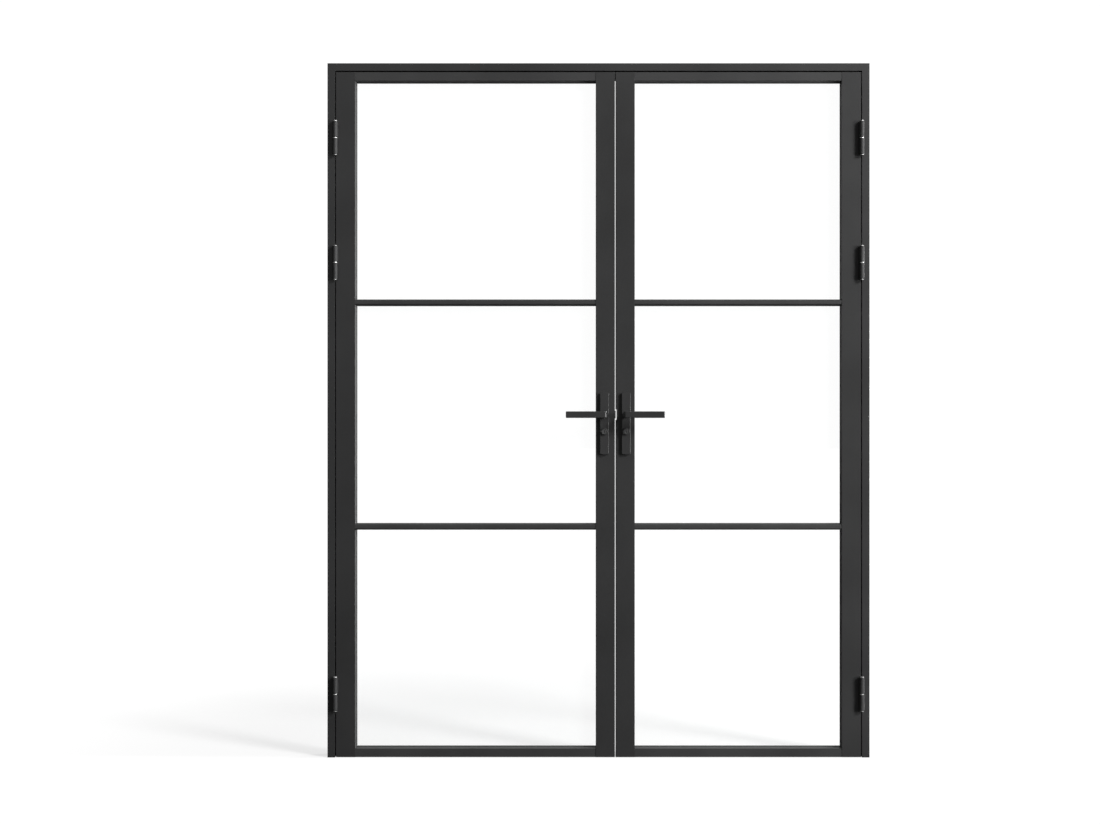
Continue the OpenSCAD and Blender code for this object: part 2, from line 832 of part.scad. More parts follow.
// latch nose, bevelled on the side that meets the keep first
module latch_bolt() {
    w = left_w;
    t = bolt_t / 2;
    color(steel) place("left") {
        translate([0, lock_y, axis_z - latch_h / 2]) linear_extrude(latch_h)
            polygon([[w - latch_body, -t], [w + latch_proud, -t], [w + latch_proud, -t + 2],
                [w, t], [w - latch_body, t]]);
        block([w - latch_tail, lock_y - t / 2, axis_z - latch_tail_h / 2],
            [w - latch_body, lock_y + t / 2, axis_z + latch_tail_h / 2]);
    }
}

module dead_bolt() {
    w = left_w;
    color(steel) place("left")
        block([w - dead_len - dead_sunk, lock_y - bolt_t / 2, dead_mid_z - dead_h / 2],
            [w - dead_sunk, lock_y + bolt_t / 2, dead_mid_z + dead_h / 2]);
}

module shoot_rod(low, high) {
    color(steel) place("right") translate([right_w - rod_in, lock_y, low]) cylinder(r = rod_r, h = high - low);
}

module top_bolt() {
    shoot_rod(axis_z + rod_gap, leaf_top - rod_sunk);
}

module bottom_bolt() {
    shoot_rod(leaf_bottom + rod_sunk, axis_z - rod_gap);
}

jamb(-1);  // jamb_left
jamb(1);  // jamb_right
frame_head();
stop_left();
stop_right();
stop_head();
frame_seals();
frame_knuckles("left");  // frame_knuckles_left
frame_knuckles("right");  // frame_knuckles_right
hinge_pins();
hinge_washers();
hinge_stile("left");  // left_hinge_stile
left_meeting_stile();
rail("left", true);  // left_top_rail
rail("left", false);  // left_bottom_rail
bar("left", 2);  // left_upper_bar
bar("left", 1);  // left_lower_bar
pane("left", 2);  // left_glass_top
pane("left", 1);  // left_glass_middle
pane("left", 0);  // left_glass_bottom
beads("left");  // left_beads
glazing_tape("left");  // left_glazing_tape
leaf_knuckles("left");  // left_knuckles
plate_front("left");  // left_plate_front
plate_rear("left");  // left_plate_rear
left_screws();
left_forend();
left_lock_case();
lock_cylinder("left");  // left_cylinder
plug("left");  // left_plug
lever_front("left");  // left_lever_front
lever_rear("left");  // left_lever_rear
spindle("left");  // left_spindle
latch_bolt();
dead_bolt();
hinge_stile("right");  // right_hinge_stile
right_meeting_stile();
rail("right", true);  // right_top_rail
rail("right", false);  // right_bottom_rail
bar("right", 2);  // right_upper_bar
bar("right", 1);  // right_lower_bar
pane("right", 2);  // right_glass_top
pane("right", 1);  // right_glass_middle
pane("right", 0);  // right_glass_bottom
beads("right");  // right_beads
glazing_tape("right");  // right_glazing_tape
leaf_knuckles("right");  // right_knuckles
plate_front("right");  // right_plate_front
plate_rear("right");  // right_plate_rear
right_screws();
latch_keep();
dead_bolt_keep();
right_gear_case();
lock_cylinder("right");  // right_cylinder
plug("right");  // right_plug
lever_front("right");  // right_lever_front
lever_rear("right");  // right_lever_rear
spindle("right");  // right_spindle
top_bolt();
bottom_bolt();
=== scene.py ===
"""French doors: two glazed steel leaves of unequal width in a slim black frame, with their hinges,
handles, locks and seals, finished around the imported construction."""

import json
import math
from contextlib import contextmanager

import bmesh
import bpy
from mathutils import Matrix, Vector


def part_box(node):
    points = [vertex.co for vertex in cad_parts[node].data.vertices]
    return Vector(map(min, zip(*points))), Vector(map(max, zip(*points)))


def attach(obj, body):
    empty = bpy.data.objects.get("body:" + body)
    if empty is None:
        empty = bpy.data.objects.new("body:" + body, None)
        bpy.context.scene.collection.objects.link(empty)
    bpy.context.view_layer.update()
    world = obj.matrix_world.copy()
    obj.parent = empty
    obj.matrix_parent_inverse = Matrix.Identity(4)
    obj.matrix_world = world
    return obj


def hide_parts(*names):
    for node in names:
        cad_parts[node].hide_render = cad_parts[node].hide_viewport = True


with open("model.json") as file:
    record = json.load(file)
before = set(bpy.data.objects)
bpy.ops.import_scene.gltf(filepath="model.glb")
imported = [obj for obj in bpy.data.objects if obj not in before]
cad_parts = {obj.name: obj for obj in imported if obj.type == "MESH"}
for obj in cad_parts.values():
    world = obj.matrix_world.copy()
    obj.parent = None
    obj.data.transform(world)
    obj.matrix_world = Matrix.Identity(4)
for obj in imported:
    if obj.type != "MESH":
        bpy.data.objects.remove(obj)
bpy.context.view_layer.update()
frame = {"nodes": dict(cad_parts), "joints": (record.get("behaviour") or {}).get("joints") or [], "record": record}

MM = 0.001
SIDES = ("left", "right")
NODES = frame["nodes"]
JOINTS = {joint["name"]: joint for joint in frame["joints"]}

# working tolerances
MERGE = 0.000001
FLAT = math.radians(0.6)
SHARP = math.radians(28)
SMOOTH = math.radians(32)


# ---- shader arithmetic ----


class Value:
    """A shader socket that takes plain arithmetic: each sign adds its Math node."""

    def __init__(self, shader, socket):
        self.shader = shader
        self.socket = socket

    def maths(self, operation, *others):
        inputs = dict(enumerate((self, *others)))
        return self.shader.node("ShaderNodeMath", {"operation": operation}, inputs)

    def __add__(self, other):
        return self.maths("ADD", other)

    def __rsub__(self, other):
        return self * -1 + other

    def __mul__(self, other):
        return self.maths("MULTIPLY", other)

    __radd__ = __add__
    __rmul__ = __mul__


class Shader:
    """One procedural material: its nodes, its Principled surface and the place on the piece."""

    def __init__(self, name):
        self.material = bpy.data.materials.new(name)
        self.material.use_nodes = True
        self.tree = self.material.node_tree
        self.surface = self.tree.nodes["Principled BSDF"]
        self.place = self.node("ShaderNodeTexCoord", output="Object")

    def node(self, kind, settings=None, inputs=None, output=0):
        """Adds a node, sets its settings first and then its sockets, and returns one output."""
        made = self.tree.nodes.new(kind)
        for key, value in (settings or {}).items():
            setattr(made, key, value)
        for key, value in (inputs or {}).items():
            self.feed(made.inputs[key], value)
        return Value(self, made.outputs[output])

    def feed(self, socket, value):
        if isinstance(value, Value):
            self.tree.links.new(value.socket, socket)
        else:
            socket.default_value = value

    def set(self, **values):
        """Sets inputs of the surface: Base_Color=..., Roughness=..."""
        for key, value in values.items():
            self.feed(self.surface.inputs[key.replace("_", " ")], value)

    def stretched(self, x, y, z):
        return self.node("ShaderNodeMapping", {}, {"Vector": self.place, "Scale": (x, y, z)})

    def noise(self, scale, detail=3.0, roughness=0.5, place=None):
        inputs = {"Vector": place or self.place, "Scale": scale, "Detail": detail,
                  "Roughness": roughness}
        return self.node("ShaderNodeTexNoise", {}, inputs)

    def band(self, value, low, high):
        """0 below low, 1 above high, and a soft step between."""
        inputs = {"Value": value, "From Min": low, "From Max": high}
        return self.node("ShaderNodeMapRange", {"interpolation_type": "SMOOTHSTEP"}, inputs)

    def blend(self, factor, low, high):
        inputs = {0: factor, 6: (*low, 1.0), 7: (*high, 1.0)}
        return self.node("ShaderNodeMix", {"data_type": "RGBA"}, inputs, output=2)

    def bump(self, height, depth, strength):
        inputs = {"Height": height, "Distance": depth, "Strength": strength}
        self.set(Normal=self.node("ShaderNodeBump", {}, inputs))


# ---- materials ----


def powder_coat(name, shade, roughness):
    """Satin powder coat: a fine orange peel, a little cloudiness and a few fine specks."""
    shader = Shader(name)
    cloud = shader.noise(4.0, 4.0)
    peel = shader.noise(650.0, 2.0, 0.6)
    grain = shader.noise(2600.0, 1.0)
    speck = shader.band(shader.noise(900.0, 0.0), 0.72, 0.78)
    light = tuple(part * 1.25 for part in shade)
    dark = tuple(part * 0.85 for part in shade)
    tone = shader.band(cloud * 0.7 + grain * 0.3, 0.3, 0.7) + speck * 0.5
    shader.set(Base_Color=shader.blend(tone, dark, light),
               Roughness=cloud * 0.08 + peel * 0.06 + (roughness - 0.07))
    shader.bump(peel * 0.8 + grain * 0.2, 0.0001, 0.7)
    return shader.material


def worked_steel(name, shade, roughness, marks, depth):
    """Bright or zinc coated steel with fine turning or rolling marks and soft stains."""
    shader = Shader(name)
    along = shader.noise(1.0, 2.0, 0.6, shader.stretched(300.0, 300.0, marks))
    stain = shader.noise(60.0, 4.0, 0.6)
    dark = tuple(part * 0.78 for part in shade)
    shader.set(Base_Color=shader.blend(shader.band(stain, 0.35, 0.65), dark, shade),
               Roughness=along * 0.12 + stain * 0.1 + (roughness - 0.11), Metallic=1.0)
    shader.bump(along, depth, 0.5)
    return shader.material


def soft_rubber(name, shade):
    """Matt black rubber with a fine moulded grain and a little dust."""
    shader = Shader(name)
    grain = shader.noise(1500.0, 3.0)
    dust = shader.band(shader.noise(35.0, 5.0, 0.7), 0.55, 0.8)
    light = tuple(part * 2.2 for part in shade)
    shader.set(Base_Color=shader.blend(dust, shade, light), Roughness=dust * 0.1 + 0.72)
    shader.bump(grain, 0.00008, 0.5)
    return shader.material


def float_glass(name):
    """Clear float glass: it shows what is behind it, and mirrors more towards its edges."""
    shader = Shader(name)
    film = shader.noise(2.2, 3.0, 0.55)
    edge = shader.node("ShaderNodeLayerWeight", {}, {"Blend": 0.12}, output="Fresnel")
    shader.set(Base_Color=(0.8, 0.88, 0.86, 1.0), Roughness=0.03,
               Specular_IOR_Level=0.5, Alpha=edge * 0.55 + film * 0.012 + 0.022)
    return shader.material


COAT = powder_coat("satin_black_coat", (0.021, 0.021, 0.0213), 0.46)
# painted light: the rails and bars get a lighter copy of the same coat, so they read brighter than the stiles
LIT_RAIL_COAT = powder_coat("satin_black_coat_rails", (0.031, 0.031, 0.0313), 0.46)
HANDLE_COAT = powder_coat("handle_black", (0.028, 0.028, 0.0283), 0.36)
HINGE_COAT = powder_coat("satin_black_coat_hinges", (0.022, 0.022, 0.0223), 0.62)
PLUG_STEEL = worked_steel("blackened_steel", (0.24, 0.24, 0.243), 0.4, 900.0, 0.000008)
BRIGHT = worked_steel("polished_steel", (0.8, 0.8, 0.79), 0.42, 3000.0, 0.000005)
WASHER_STEEL = worked_steel("ground_steel", (0.8, 0.8, 0.79), 0.55, 600.0, 0.000005)
PIN_STEEL = worked_steel("pin_steel", (0.56, 0.56, 0.555), 0.62, 600.0, 0.000005)
BOLT_STEEL = worked_steel("bolt_steel", (0.62, 0.62, 0.61), 0.34, 60.0, 0.00001)
ZINC = worked_steel("zinc_plate", (0.46, 0.47, 0.49), 0.45, 40.0, 0.00001)
RUBBER = soft_rubber("seal_rubber", (0.012, 0.012, 0.012))
GLASS = float_glass("clear_float_glass")


# ---- bench: how pieces are taken, shaped and put on their body ----


def take(*pieces):
    """Makes these pieces the only ones that operators act on."""
    bpy.ops.object.select_all(action="DESELECT")
    for piece in pieces:
        piece.select_set(True)
    bpy.context.view_layer.objects.active = pieces[0]


@contextmanager
def shaping(piece):
    take(piece)
    bpy.ops.object.mode_set(mode="EDIT")
    yield
    bpy.ops.object.mode_set(mode="OBJECT")


def pick_edges(piece, wanted):
    """In edit mode, selects only the edges that are wanted."""
    bpy.ops.mesh.select_mode(type="EDGE")
    bpy.ops.mesh.select_all(action="DESELECT")
    mesh = bmesh.from_edit_mesh(piece.data)
    for edge in mesh.edges:
        if wanted(edge):
            edge.select_set(True)
    mesh.select_flush_mode()
    bmesh.update_edit_mesh(piece.data)


def is_sharp(edge):
    return len(edge.link_faces) == 2 and edge.calc_face_angle(0.0) > SHARP


def middle(edge):
    return (edge.verts[0].co + edge.verts[1].co) / 2


def ease(piece, size, turns=2, wanted=lambda edge: True):
    """Rounds the sharp edges that are wanted."""
    with shaping(piece):
        pick_edges(piece, lambda edge: is_sharp(edge) and wanted(edge))
        bpy.ops.mesh.bevel(offset=size, segments=turns, affect="EDGES", clamp_overlap=False)


def settle(piece):
    """Puts a piece's place into its mesh, and its object at the origin."""
    take(piece)
    bpy.ops.object.transform_apply(location=True, rotation=True, scale=True)


def outward(piece):
    with shaping(piece):
        bpy.ops.mesh.select_all(action="SELECT")
        bpy.ops.mesh.remove_doubles(threshold=MERGE)
        bpy.ops.mesh.normals_make_consistent(inside=False)


def join(name, pieces):
    """Joins pieces that are one part, or one set of like parts."""
    take(*pieces)
    if len(pieces) > 1:
        bpy.ops.object.join()
    pieces[0].name = name
    pieces[0].data.name = name
    return pieces[0]


def give(piece, material, body, node=None):
    """Gives a finished piece its material, shading and body, and hides the node that it stands for."""
    piece.data.materials.clear()
    piece.data.materials.append(material)
    take(piece)
    bpy.ops.object.shade_smooth_by_angle(angle=SMOOTH)
    weigh = piece.modifiers.new("weigh", "WEIGHTED_NORMAL")
    weigh.keep_sharp = True
    bpy.ops.object.modifier_apply(modifier=weigh.name)
    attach(piece, body)
    if node:
        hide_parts(node)
    return piece


def block(name, low, high):
    """A rectangular blank between two corners."""
    low, high = Vector(low), Vector(high)
    bpy.ops.object.select_all(action="DESELECT")
    bpy.ops.mesh.primitive_cube_add(size=1, location=(low + high) / 2, scale=high - low)
    piece = bpy.context.object
    piece.name = name
    settle(piece)
    return piece


def turned(name, rings, centre, along="Z", sides=48, closed=False):
    """A lathe-turned piece from (radius, height) rings. A closed one is a ring whose outline
    comes back to its start, and any other has a flat face at each end."""
    bpy.ops.object.select_all(action="DESELECT")
    bpy.ops.mesh.primitive_circle_add(vertices=sides, radius=rings[0][0],
                                      fill_type="NOTHING" if closed else "NGON",
                                      location=(0, 0, rings[0][1]))
    piece = bpy.context.object
    piece.name = name
    settle(piece)
    with shaping(piece):
        bpy.ops.mesh.select_all(action="SELECT")
        for (radius, height), (was, start) in zip(rings[1:], rings):
            bpy.ops.mesh.extrude_region_move(
                TRANSFORM_OT_translate={"value": (0, 0, height - start)})
            bpy.ops.transform.resize(value=(radius / was, radius / was, 1),
                                     center_override=(0, 0, height))
    if along == "Y":
        piece.data.transform(Matrix.Rotation(-math.pi / 2, 4, "X"))
    if along == "X":
        piece.data.transform(Matrix.Rotation(math.pi / 2, 4, "Y"))
    piece.data.transform(Matrix.Translation(centre))
    outward(piece)
    return piece


def copied(piece, shift=(0, 0, 0), mirror=None, at=0.0):
    """A copy with a mesh of its own, mirrored in the plane where an axis is at, then shifted."""
    twin = piece.copy()
    twin.data = piece.data.copy()
    bpy.context.collection.objects.link(twin)
    if mirror:
        axis = Vector([name == mirror for name in "XYZ"])
        twin.data.transform(Matrix.Translation(axis * at) @ Matrix.Scale(-1, 4, axis)
                            @ Matrix.Translation(axis * -at))
        outward(twin)
    twin.data.transform(Matrix.Translation(shift))
    return twin


def combine(piece, other, operation):
    """Cuts other out of piece, or welds it on, and uses other up."""
    take(piece)
    cut = piece.modifiers.new("cut", "BOOLEAN")
    cut.object = other
    cut.operation = operation
    cut.solver = "EXACT"
    bpy.ops.object.modifier_apply(modifier=cut.name)
    bpy.data.objects.remove(other)
    return piece


def worked_copy(node, size=None, turns=2, wanted=lambda edge: True):
    """A copy of a construction part with whole flat faces and eased edges."""
    piece = bpy.data.objects.new(node + "_finished", NODES[node].data.copy())
    bpy.context.collection.objects.link(piece)
    with shaping(piece):
        bpy.ops.mesh.customdata_custom_splitnormals_clear()
        bpy.ops.mesh.select_all(action="SELECT")
        bpy.ops.mesh.remove_doubles(threshold=MERGE)
        bpy.ops.mesh.dissolve_limited(angle_limit=FLAT)
    if size:
        ease(piece, size, turns, wanted)
    return piece


def body_of(node):
    bodies = frame["record"]["behaviour"]["bodies"]
    return next(body for body, nodes in bodies.items() if node in nodes)


def finish_node(node, material, size=None, turns=2, wanted=lambda edge: True):
    piece = worked_copy(node, size, turns, wanted)
    return give(piece, material, body_of(node), node)


# ---- frame ----

EDGE = 0.15 * MM


def on_mitre(edge):
    """True for the edges of a mitre, which are welded and ground flush."""
    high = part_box("frame_head")[1]
    ends = [abs(vert.co.x) - high.x - (vert.co.z - high.z) for vert in edge.verts]
    return all(abs(end) < 0.02 * MM for end in ends)


def make_frame():
    def outer(edge):
        return not on_mitre(edge) and edge.calc_length() > 30 * MM

    for node in ("jamb_left", "jamb_right", "frame_head"):
        finish_node(node, COAT, EDGE, 3, outer)
    for node in ("stop_left", "stop_right", "stop_head"):
        finish_node(node, COAT, 0.5 * MM, 2, lambda edge: edge.calc_length() > 30 * MM)


def make_seals():
    """Soft D-shaped strips that the closed leaves press on."""
    low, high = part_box("frame_seals")
    width = 8 * MM
    spans = [((low.x, low.z), (low.x + width, high.z - width)),
             ((high.x - width, low.z), (high.x, high.z - width)),
             ((low.x, high.z - width), (high.x, high.z))]
    strips = []
    for (x0, z0), (x1, z1) in spans:
        strip = block("strip", (x0, low.y, z0), (x1, high.y, z1))
        front = low.y + 0.1 * MM
        ease(strip, 2.2 * MM, 5, lambda edge: middle(edge).y < front and edge.calc_length() > 1)
        strips.append(strip)
    give(join("seal_strips", strips), RUBBER, "frame", "frame_seals")


# ---- hinges ----

# radii of barrel and pin, and how far a lug stops short of its knuckle's ends
BARREL = 8 * MM
PIN = 5 * MM
LUG_END = 3 * MM


def levels(node):
    """The (low, high) heights of each hinge's part of a node."""
    heights = sorted(vert.co.z for vert in NODES[node].data.vertices)
    spans = [[heights[0], heights[0]]]
    for height in heights:
        if height - spans[-1][1] > 80 * MM:
            spans.append([height, height])
        spans[-1][1] = height
    return spans


def hinge_axis(side):
    return Vector(JOINTS[f"leaf_{side}_swing"]["pos_m"])


def weld_bead(name, low, length, radius):
    """A short rippled fillet weld, standing along Z."""
    ripples = int(length / (1.6 * MM))
    step = length / ripples
    rings = [(radius * 0.5, 0)]
    for n in range(ripples):
        rings.append((radius, (n + 0.35) * step))
        rings.append((radius * 0.84, (n + 0.9) * step))
    rings.append((radius * 0.4, length + 0.3 * MM))
    return turned(name, rings, low, sides=10)


def knuckle(name, side, upper, low, high):
    """One knuckle with its chamfered outer end, its lug and the weld that holds the lug."""
    bore = PIN + 0.1 * MM
    rim = 1.5 * MM
    soft = 0.35 * MM
    tall = high - low
    half = BARREL - 0.3 * rim
    if upper:
        ends = [(BARREL - soft, 0), (BARREL, soft), (BARREL, tall - rim), (half, tall - 0.45 * rim),
                (BARREL - rim, tall)]
    else:
        ends = [(BARREL - rim, 0), (half, 0.45 * rim), (BARREL, rim), (BARREL, tall - soft),
                (BARREL - soft, tall)]
    centre = hinge_axis(side)
    rings = [(bore, 0), *ends, (bore, tall), (bore, 0)]
    shell = turned(name, rings, (centre.x, centre.y, low), closed=True)
    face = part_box("jamb_left")[0].y
    toward = (1 if side == "left" else -1) * (1 if upper else -1)
    x0, x1 = sorted((centre.x + toward * 2 * MM, centre.x + toward * 7 * MM))
    lug = block("lug", (x0, centre.y + 5.2 * MM, low + LUG_END), (x1, face, high - LUG_END))
    ease(lug, 0.4 * MM, 2)
    bead = weld_bead("bead", (centre.x + toward * 7 * MM, face - 0.5 * MM, low + LUG_END),
                     tall - 2 * LUG_END, 1.3 * MM)
    return join(name, [shell, lug, bead])


def make_hinges():
    for side in SIDES:
        for node, upper in ((f"frame_knuckles_{side}", False), (f"{side}_knuckles", True)):
            spans = levels(node)
            first = knuckle(node + "_knuckle", side, upper, *spans[0])
            rest = [copied(first, (0, 0, low - spans[0][0])) for low, _ in spans[1:]]
            give(join(node + "_welded", [first, *rest]), HINGE_COAT, body_of(node),
                 node)


def pin_cap(centre, end, sign):
    rings = [(5.9 * MM, 0), (6 * MM, 0.1 * MM), (6 * MM, 1.5 * MM), (5.7 * MM, 2 * MM),
             (4.9 * MM, 2.3 * MM), (3 * MM, 2.42 * MM), (1.2 * MM, 2.45 * MM)]
    return turned("cap", [(radius, sign * height) for radius, height in rings],
                  (centre.x, centre.y, end))


def make_pins():
    """Pins with domed caps, and the ground washers between the knuckles."""
    centre = hinge_axis("left")
    lower, upper = levels("frame_knuckles_left"), levels("left_knuckles")
    (foot, low), (high, head) = lower[0], upper[0]
    pin = turned("pin", [(PIN, 0), (PIN, head - foot)], (centre.x, centre.y, foot), sides=32)
    pin = join("pin", [pin, pin_cap(centre, foot, -1), pin_cap(centre, head + 0.05 * MM, 1)])
    bore, rim, tall = 5.2 * MM, 6.5 * MM, high - low - 0.1 * MM
    soft = 0.3 * MM
    rings = [(bore, 0), (rim - soft, 0), (rim, soft), (rim, tall - soft), (rim - soft, tall),
             (bore, tall), (bore, 0)]
    washer = turned("washer", rings, (centre.x, centre.y, low), closed=True)
    shifts = [hinge_axis(side) - centre + Vector((0, 0, start - foot))
              for side in SIDES for start, _ in lower]
    for name, first, material, node in (("hinge_pins_polished", pin, PIN_STEEL, "hinge_pins"),
                                        ("hinge_washers_ground", washer, WASHER_STEEL,
                                         "hinge_washers")):
        twins = [copied(first, shift) for shift in shifts[1:]]
        give(join(name, [first, *twins]), material, "frame", node)


# ---- leaves ----


def make_leaf(side):
    def long_edge(edge):
        return edge.calc_length() > 25 * MM

    for part in ("hinge_stile", "meeting_stile"):
        finish_node(f"{side}_{part}", COAT, EDGE, 3, long_edge)
    # rails and bars take the lighter copy of the coat, which is painted light
    for part in ("top_rail", "bottom_rail", "upper_bar", "lower_bar"):
        finish_node(f"{side}_{part}", LIT_RAIL_COAT, 0.4 * MM, 2, long_edge)
    finish_node(f"{side}_beads", COAT, 0.5 * MM, 2, long_edge)
    for part in ("glass_top", "glass_middle", "glass_bottom"):
        finish_node(f"{side}_{part}", GLASS, 0.6 * MM, 1)
    finish_node(f"{side}_glazing_tape", RUBBER)


def make_meeting_seal(side):
    """A thin soft strip along the front of a leaf's meeting edge, which narrows the gap that the
    swing needs. Each stands out less than the room that the other leaf's rear corner leaves it.
    On the right leaf it is broken at the channel of the latch keep."""
    low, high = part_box(f"{side}_meeting_stile")
    inset, deep = 1.5 * MM, 5 * MM
    proud = 0.25 * MM if side == "left" else 0.5 * MM
    middle_of_lock = JOINTS["lever_right_turn"]["pos_m"][2]
    channel = 18 * MM
    bottom, top = low.z + inset, high.z - inset
    spans = [(bottom, top)]
    edge = high.x
    if side == "right":
        spans = [(bottom, middle_of_lock - channel), (middle_of_lock + channel, top)]
        edge = low.x
    strips = []
    for z0, z1 in spans:
        front = low.y + inset
        strip = block("strip", (edge - proud, front, z0), (edge + proud, front + deep, z1))
        ease(strip, proud * 0.8, 3, lambda line: line.calc_length() > 100 * MM)
        strips.append(strip)
    give(join(f"{side}_meeting_seal", strips), RUBBER, body_of(f"{side}_meeting_stile"))


# ---- handles and locks ----

# from the middle of the leaf to just outside the hollow of a plate
PLATE_HOLLOW = 31.5 * MM


def make_plates(side):
    """Hollow backplates. Only the outer edges are eased, all the way round: the arched ends are
    short facets, which a wider rounding would run over."""
    for face in ("front", "rear"):
        finish_node(f"{side}_plate_{face}", HANDLE_COAT, 0.3 * MM, 3,
                    lambda edge: abs(middle(edge).y) > PLATE_HOLLOW)


def lever_form():
    """The front lever of the left leaf: a flat bar with rounded long edges and a rounded bend,
    on a turned neck that runs into the plate."""
    node = "left_lever_front"
    low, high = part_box(node)
    axis = Vector(JOINTS["lever_left_turn"]["pos_m"])
    neck = 8 * MM
    thick = 12 * MM
    foot = high.y
    near = low.y + thick
    heel = axis.x + neck
    bar = block(node + "_bar", low, (heel, near, high.z))
    with shaping(bar):
        pick_edges(bar, lambda edge: abs(middle(edge).x - heel) < MERGE
                   and abs(middle(edge).y - low.y) < MERGE)
        bpy.ops.mesh.bevel(offset=8 * MM, segments=10, affect="EDGES")
    ease(bar, 2.4 * MM, 5)
    reach = near - 2 * MM - foot
    rings = [(neck, 0), (neck, reach * 0.86), (neck, reach)]
    stem = turned(node + "_neck", rings, (axis.x, foot, axis.z), along="Y", sides=64)
    return combine(bar, stem, "UNION")


def make_levers():
    """Four levers that are one form, mirrored from leaf to leaf and from front to rear."""
    form = lever_form()
    between = sum(JOINTS[f"lever_{side}_turn"]["pos_m"][0] for side in SIDES) / 2
    for side in SIDES:
        front = copied(form) if side == "left" else copied(form, mirror="X", at=between)
        rear = copied(front, mirror="Y")
        for face, lever in (("front", front), ("rear", rear)):
            node = f"{side}_lever_{face}"
            give(join(node + "_finished", [lever]), HANDLE_COAT, body_of(node), node)
    bpy.data.objects.remove(form)


def socket_screw(name, radius, depth, place, along, out):
    """A countersunk screw head with a six-sided socket, facing along an axis."""
    rings = [(radius * 0.5, 0), (radius * 0.97, depth * 0.9), (radius, depth)]
    if out < 0:
        rings = [(r, -h) for r, h in rings]
    head = turned(name, rings, place, along=along, sides=40)
    socket = [(radius * 0.42, out * depth * 0.45), (radius * 0.42, out * depth * 1.6)]
    return combine(head, turned("key", socket, place, along=along, sides=6), "DIFFERENCE")


def make_screws(side):
    """Plate screws with their heads in the rear plate, and the screws in the meeting edge."""
    node = f"{side}_screws"
    low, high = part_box(node)
    axis = Vector(JOINTS[f"lever_{side}_turn"]["pos_m"])
    sunk = 3 * MM
    back = high.y - sunk
    bottom, top = plate_screw_heights()
    head = socket_screw("head", 4.4 * MM, sunk, (axis.x, back, bottom), "Y", 1)
    shank = turned("shank", [(2.4 * MM, 0), (2.4 * MM, back - low.y)], (axis.x, low.y, bottom),
                   along="Y", sides=20)
    screw = join("plate_screw", [head, shank])
    pieces = [screw, copied(screw, (0, 0, top - bottom))]
    out, edge = (1, high.x) if side == "left" else (-1, low.x)
    first, *others = edge_screw_heights(side)
    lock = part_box("left_forend")
    place = (edge - out * 1.7 * MM, (lock[0].y + lock[1].y) / 2, first)
    small = socket_screw("edge_head", 1.95 * MM, 1.6 * MM, place, "X", out)
    pieces += [small, *(copied(small, (0, 0, z - first)) for z in others)]
    give(join(node + "_finished", pieces), ZINC, body_of(node), node)


def plate_screw_heights():
    low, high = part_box("left_plate_rear")
    return (low.z + 7 * MM, high.z - 7 * MM)


def edge_screw_heights(side):
    if side == "left":
        low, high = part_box("left_forend")
        return (low.z + 7 * MM, high.z - 7 * MM)
    latch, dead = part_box("latch_keep"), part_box("dead_bolt_keep")
    return (latch[0].z + 8 * MM, latch[1].z - 7 * MM, dead[0].z + 5 * MM, dead[1].z - 5 * MM)


def make_locks(side):
    for part, material in ((f"{side}_cylinder", HANDLE_COAT), (f"{side}_plug", PLUG_STEEL)):
        finish_node(part, material, 0.25 * MM, 2, lambda edge: edge.calc_length() > 0.6 * MM)
    finish_node(f"{side}_spindle", ZINC, 0.4 * MM, 2, lambda edge: edge.calc_length() > 20 * MM)


def make_lock_fittings():
    for node, material in (("left_forend", BOLT_STEEL), ("latch_keep", BOLT_STEEL),
                           ("dead_bolt_keep", BOLT_STEEL), ("latch_bolt", BRIGHT),
                           ("dead_bolt", BOLT_STEEL), ("left_lock_case", ZINC),
                           ("right_gear_case", ZINC)):
        finish_node(node, material, 0.25 * MM, 2, lambda edge: edge.calc_length() > 4 * MM)
    for node in ("top_bolt", "bottom_bolt"):
        low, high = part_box(node)
        radius = (high.x - low.x) / 2
        tall = high.z - low.z
        rings = [(radius - 0.8 * MM, 0), (radius, 0.8 * MM), (radius, tall - 0.8 * MM),
                 (radius - 0.8 * MM, tall)]
        rod = turned(node + "_finished", rings, ((low.x + high.x) / 2, (low.y + high.y) / 2, low.z))
        give(rod, BOLT_STEEL, body_of(node), node)


# ---- studio ----

# strengths of the soft room, and how dark the floor is behind the frame
ROOM_DARK = 0.13
ROOM_LIGHT = 0.75
FLOOR_SHADE = 0.38


def make_studio():
    bpy.ops.object.select_all(action="DESELECT")
    bpy.ops.mesh.primitive_plane_add(size=60, location=(0, 10, -0.0005))
    floor = bpy.context.object
    floor.name = "studio_floor"
    settle(floor)
    shader = Shader("pale_floor")
    tree = shader.tree
    seen = shader.node("ShaderNodeLightPath", output="Is Camera Ray")
    glow = shader.node("ShaderNodeEmission", {}, {"Color": (1, 1, 1, 1), "Strength": 1.07})
    shader.set(Base_Color=shader.blend(seen, (0.07, 0.07, 0.07), (0.8, 0.8, 0.8)), Roughness=0.9,
               Specular_IOR_Level=0.0)
    away = shader.node("ShaderNodeVectorMath", {"operation": "LENGTH"}, {0: shader.place},
                       output="Value")
    depth = shader.node("ShaderNodeSeparateXYZ", {}, {0: shader.place}, output="Y")
    shaded = shader.band(depth, -0.08, 0.02) * (1 - shader.band(away, 1.0, 2.4))
    lit = 1 - shaded * FLOOR_SHADE
    mixed = shader.node("ShaderNodeMixShader", {}, {0: seen * lit, 2: glow})
    tree.links.new(shader.surface.outputs[0], mixed.socket.node.inputs[1])
    tree.links.new(mixed.socket, tree.nodes["Material Output"].inputs["Surface"])
    floor.data.materials.append(shader.material)


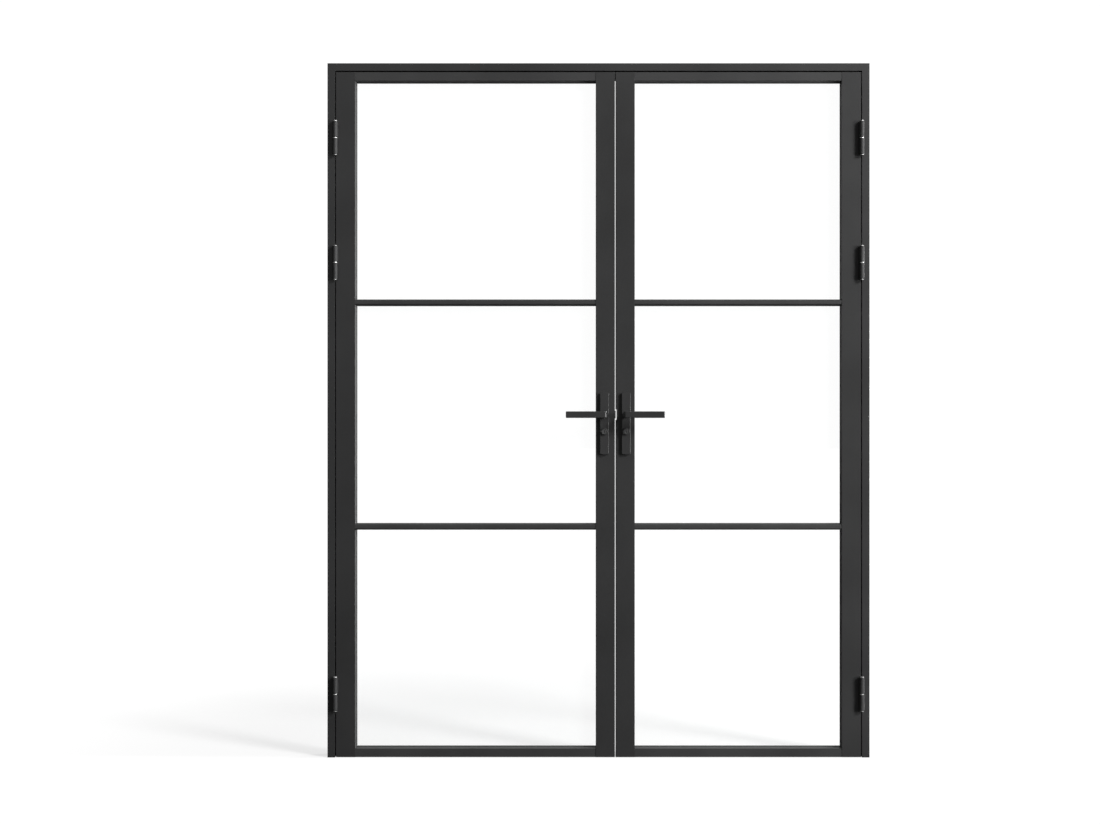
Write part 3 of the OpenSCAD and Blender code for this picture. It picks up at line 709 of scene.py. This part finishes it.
def make_world():
    """White where the camera sees it, and a soft grey room, brighter to the right, for light."""
    world = bpy.data.worlds.new("soft_room")
    bpy.context.scene.world = world
    world.use_nodes = True
    tree = world.node_tree
    tree.nodes.clear()

    def node(kind, **inputs):
        made = tree.nodes.new(kind)
        for key, value in inputs.items():
            made.inputs[key.replace("_", " ")].default_value = value
        return made

    out = node("ShaderNodeOutputWorld")
    mix = node("ShaderNodeMixShader")
    path = node("ShaderNodeLightPath")
    white = node("ShaderNodeBackground", Color=(1, 1, 1, 1), Strength=1.03)
    room = node("ShaderNodeBackground")
    place = node("ShaderNodeTexCoord")
    toward = tree.nodes.new("ShaderNodeVectorMath")
    toward.operation = "DOT_PRODUCT"
    toward.inputs[1].default_value = Vector((0.75, 0.35, 0.55)).normalized()
    spread = tree.nodes.new("ShaderNodeMapRange")
    spread.inputs["From Min"].default_value = -0.2
    spread.inputs["From Max"].default_value = 1.0
    spread.inputs["To Min"].default_value = ROOM_DARK
    spread.inputs["To Max"].default_value = ROOM_LIGHT
    tree.links.new(place.outputs["Generated"], toward.inputs[0])
    tree.links.new(toward.outputs["Value"], spread.inputs["Value"])
    tree.links.new(spread.outputs[0], room.inputs["Strength"])
    tree.links.new(path.outputs["Is Camera Ray"], mix.inputs[0])
    tree.links.new(room.outputs[0], mix.inputs[1])
    tree.links.new(white.outputs[0], mix.inputs[2])
    tree.links.new(mix.outputs[0], out.inputs[0])


def soft_light(name, place, aim, size, power):
    bpy.ops.object.light_add(type="AREA", location=place)
    light = bpy.context.object
    light.name = name
    light.data.shape = "DISK"
    light.data.size = size
    light.data.energy = power
    light.rotation_euler = (Vector(aim) - Vector(place)).to_track_quat("-Z", "Y").to_euler()


def make_lights():
    soft_light("key", (8.4, -6.6, 6.8), (0, 0, 1.2), 3.0, 1400)
    soft_light("side", (9.2, -5.6, 1.9), (0, 0, 1.1), 2.4, 700)
    soft_light("rear_glow", (4.8, 3.4, 1.0), (0, 0, 1.1), 1.7, 560)
    soft_light("front_fill", (-3.0, -6.0, 3.0), (0, 0, 1.0), 3.5, 20)


def make_camera():
    bpy.ops.object.camera_add(location=(0, -4.975, 1.063), rotation=(math.pi / 2, 0, 0))
    camera = bpy.context.object
    camera.data.sensor_width = 36
    camera.data.lens = 52.9
    camera.data.shift_x = -0.0441
    camera.data.shift_y = -0.0015
    camera.data.clip_end = 200
    bpy.context.scene.camera = camera


make_studio()
make_world()
make_lights()
make_camera()
bpy.context.scene.view_settings.view_transform = "Standard"

make_frame()
make_seals()
make_hinges()
make_pins()
for side in SIDES:
    make_leaf(side)
    make_meeting_seal(side)
    make_plates(side)
    make_locks(side)
    make_screws(side)
make_levers()
make_lock_fittings()
